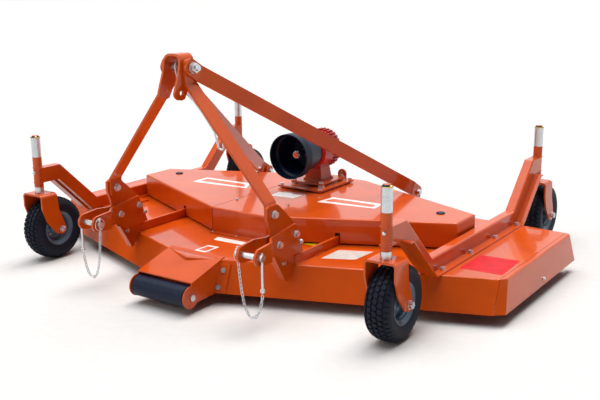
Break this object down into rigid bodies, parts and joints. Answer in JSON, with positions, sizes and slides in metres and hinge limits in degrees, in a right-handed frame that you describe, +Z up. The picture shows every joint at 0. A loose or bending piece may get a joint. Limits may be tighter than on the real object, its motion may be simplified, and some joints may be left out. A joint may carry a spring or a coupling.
{
  "type": "brush mower",
  "caption": "Rear-mounted rotary mower with a V-fronted deck, A-frame hitch, angled gearbox drive under a belt cover, side beams with caster wheels and a front anti-scalp roller.",
  "frame": {"origin": "on the ground, midway between the machine's sides and between its front and rear extents", "axes": "+X to the machine's left-to-right as seen from the tractor side (the hook side), -Y towards the tractor, +Z up"},
  "size_m": [2.4184, 1.888, 0.9937],
  "materials": {
    "orange_paint": "gloss",
    "red_paint": "gloss",
    "zinc": "satin",
    "blade_steel": "satin",
    "cast_iron": "satin",
    "black_plastic": "satin",
    "tyre_rubber": "matte",
    "rim_paint": "satin",
    "belt_rubber": "matte"
  },
  "bodies": {
    "frame": {"brace_lugs": "orange_paint", "caster_spacers": "zinc", "cover_plugs": "black_plastic", "deck_bolts": "zinc", "deck_shell": "orange_paint", "drive_belt": "belt_rubber", "gearbox_housing": "red_paint", "gearbox_plate": "orange_paint", "gearbox_stand": "orange_paint", "hitch_clevis_plates": "orange_paint", "hitch_pins": "zinc", "left_belt_cover": "orange_paint", "left_brace": "orange_paint", "left_end_skirt": "orange_paint", "left_hitch_bracket": "orange_paint", "left_mast_leg": "orange_paint", "left_wheel_beam": "orange_paint", "mast_bolt": "zinc", "pin_chains": "zinc", "pto_guard": "black_plastic", "right_belt_cover": "orange_paint", "right_brace": "orange_paint", "right_end_skirt": "orange_paint", "right_hitch_bracket": "orange_paint", "right_mast_leg": "orange_paint", "right_wheel_beam": "orange_paint", "roller_axle": "zinc", "roller_bracket": "orange_paint", "spindle_housings": "cast_iron"},
    "front_left_caster": {"front_left_fork": "orange_paint"},
    "front_left_wheel": {"front_left_rim": "rim_paint", "front_left_tyre": "tyre_rubber"},
    "rear_left_caster": {"rear_left_fork": "orange_paint"},
    "rear_left_wheel": {"rear_left_rim": "rim_paint", "rear_left_tyre": "tyre_rubber"},
    "front_right_caster": {"front_right_fork": "orange_paint"},
    "front_right_wheel": {"front_right_rim": "rim_paint", "front_right_tyre": "tyre_rubber"},
    "rear_right_caster": {"rear_right_fork": "orange_paint"},
    "rear_right_wheel": {"rear_right_rim": "rim_paint", "rear_right_tyre": "tyre_rubber"},
    "centre_spindle_set": {"centre_spindle": "zinc", "centre_spindle_pulley": "cast_iron", "centre_blade": "blade_steel"},
    "left_spindle_set": {"left_spindle": "zinc", "left_spindle_pulley": "cast_iron", "left_blade": "blade_steel"},
    "right_spindle_set": {"right_spindle": "zinc", "right_spindle_pulley": "cast_iron", "right_blade": "blade_steel"},
    "output_set": {"output_shaft": "zinc", "output_bevel_pinion": "cast_iron", "drive_pulley": "cast_iron"},
    "input_set": {"input_shaft": "zinc", "input_bevel_gear": "cast_iron"},
    "left_idler": {"left_idler_pulley": "cast_iron"},
    "right_idler": {"right_idler_pulley": "cast_iron"},
    "roller_tube": {"roller": "black_plastic"},
    "link_clevis": {"top_link_clevis": "orange_paint"},
    "hook": {"shaft_hook": "zinc"}
  },
  "joints": [
    {"name": "front_left_swivel", "type": "hinge", "parent": "frame", "child": "front_left_caster", "pos_m": [-0.908, -0.737, 0.42], "axis": [0, 0, 1], "continuous": true},
    {"name": "front_left_wheel_spin", "type": "hinge", "parent": "front_left_caster", "child": "front_left_wheel", "pos_m": [-0.908, -0.675, 0.145], "axis": [1, 0, 0], "continuous": true},
    {"name": "rear_left_swivel", "type": "hinge", "parent": "frame", "child": "rear_left_caster", "pos_m": [-0.908, 0.737, 0.42], "axis": [0, 0, 1], "continuous": true},
    {"name": "rear_left_wheel_spin", "type": "hinge", "parent": "rear_left_caster", "child": "rear_left_wheel", "pos_m": [-0.908, 0.799, 0.145], "axis": [1, 0, 0], "continuous": true},
    {"name": "front_right_swivel", "type": "hinge", "parent": "frame", "child": "front_right_caster", "pos_m": [0.908, -0.737, 0.42], "axis": [0, 0, 1], "continuous": true},
    {"name": "front_right_wheel_spin", "type": "hinge", "parent": "front_right_caster", "child": "front_right_wheel", "pos_m": [0.908, -0.675, 0.145], "axis": [1, 0, 0], "continuous": true},
    {"name": "rear_right_swivel", "type": "hinge", "parent": "frame", "child": "rear_right_caster", "pos_m": [0.908, 0.737, 0.42], "axis": [0, 0, 1], "continuous": true},
    {"name": "rear_right_wheel_spin", "type": "hinge", "parent": "rear_right_caster", "child": "rear_right_wheel", "pos_m": [0.908, 0.799, 0.145], "axis": [1, 0, 0], "continuous": true},
    {"name": "centre_blade_spin", "type": "hinge", "parent": "frame", "child": "centre_spindle_set", "pos_m": [0, -0.3, 0.2], "axis": [0, 0, 1], "continuous": true},
    {"name": "left_blade_spin", "type": "hinge", "parent": "frame", "child": "left_spindle_set", "pos_m": [-0.746, 0.033, 0.2], "axis": [0, 0, 1], "continuous": true},
    {"name": "right_blade_spin", "type": "hinge", "parent": "frame", "child": "right_spindle_set", "pos_m": [0.746, 0.033, 0.2], "axis": [0, 0, 1], "continuous": true},
    {"name": "output_spin", "type": "hinge", "parent": "frame", "child": "output_set", "pos_m": [0, 0.215, 0.3], "axis": [0, 0, 1], "continuous": true},
    {"name": "pto_spin", "type": "hinge", "parent": "frame", "child": "input_set", "pos_m": [0, 0.1, 0.468], "axis": [0, 1, 0], "continuous": true},
    {"name": "left_idler_spin", "type": "hinge", "parent": "frame", "child": "left_idler", "pos_m": [-0.19, 0.205, 0.24], "axis": [0, 0, 1], "continuous": true},
    {"name": "right_idler_spin", "type": "hinge", "parent": "frame", "child": "right_idler", "pos_m": [0.19, 0.205, 0.24], "axis": [0, 0, 1], "continuous": true},
    {"name": "roller_spin", "type": "hinge", "parent": "frame", "child": "roller_tube", "pos_m": [0, -0.899, 0.072], "axis": [1, 0, 0], "continuous": true},
    {"name": "clevis_swing", "type": "hinge", "parent": "frame", "child": "link_clevis", "pos_m": [0, -0.755, 0.94], "axis": [1, 0, 0], "range_deg": [-45, 30]},
    {"name": "hook_swing", "type": "hinge", "parent": "frame", "child": "hook", "pos_m": [0, -0.755, 0.94], "axis": [1, 0, 0], "range_deg": [0, 38]}
  ],
  "couplings": [
    {"joint": "left_blade_spin", "follows": "centre_blade_spin", "ratio": 1},
    {"joint": "right_blade_spin", "follows": "centre_blade_spin", "ratio": 1},
    {"joint": "output_spin", "follows": "centre_blade_spin", "ratio": 0.76923},
    {"joint": "pto_spin", "follows": "centre_blade_spin", "ratio": 0.25641},
    {"joint": "left_idler_spin", "follows": "centre_blade_spin", "ratio": -1.5556},
    {"joint": "right_idler_spin", "follows": "centre_blade_spin", "ratio": -1.5556}
  ]
}
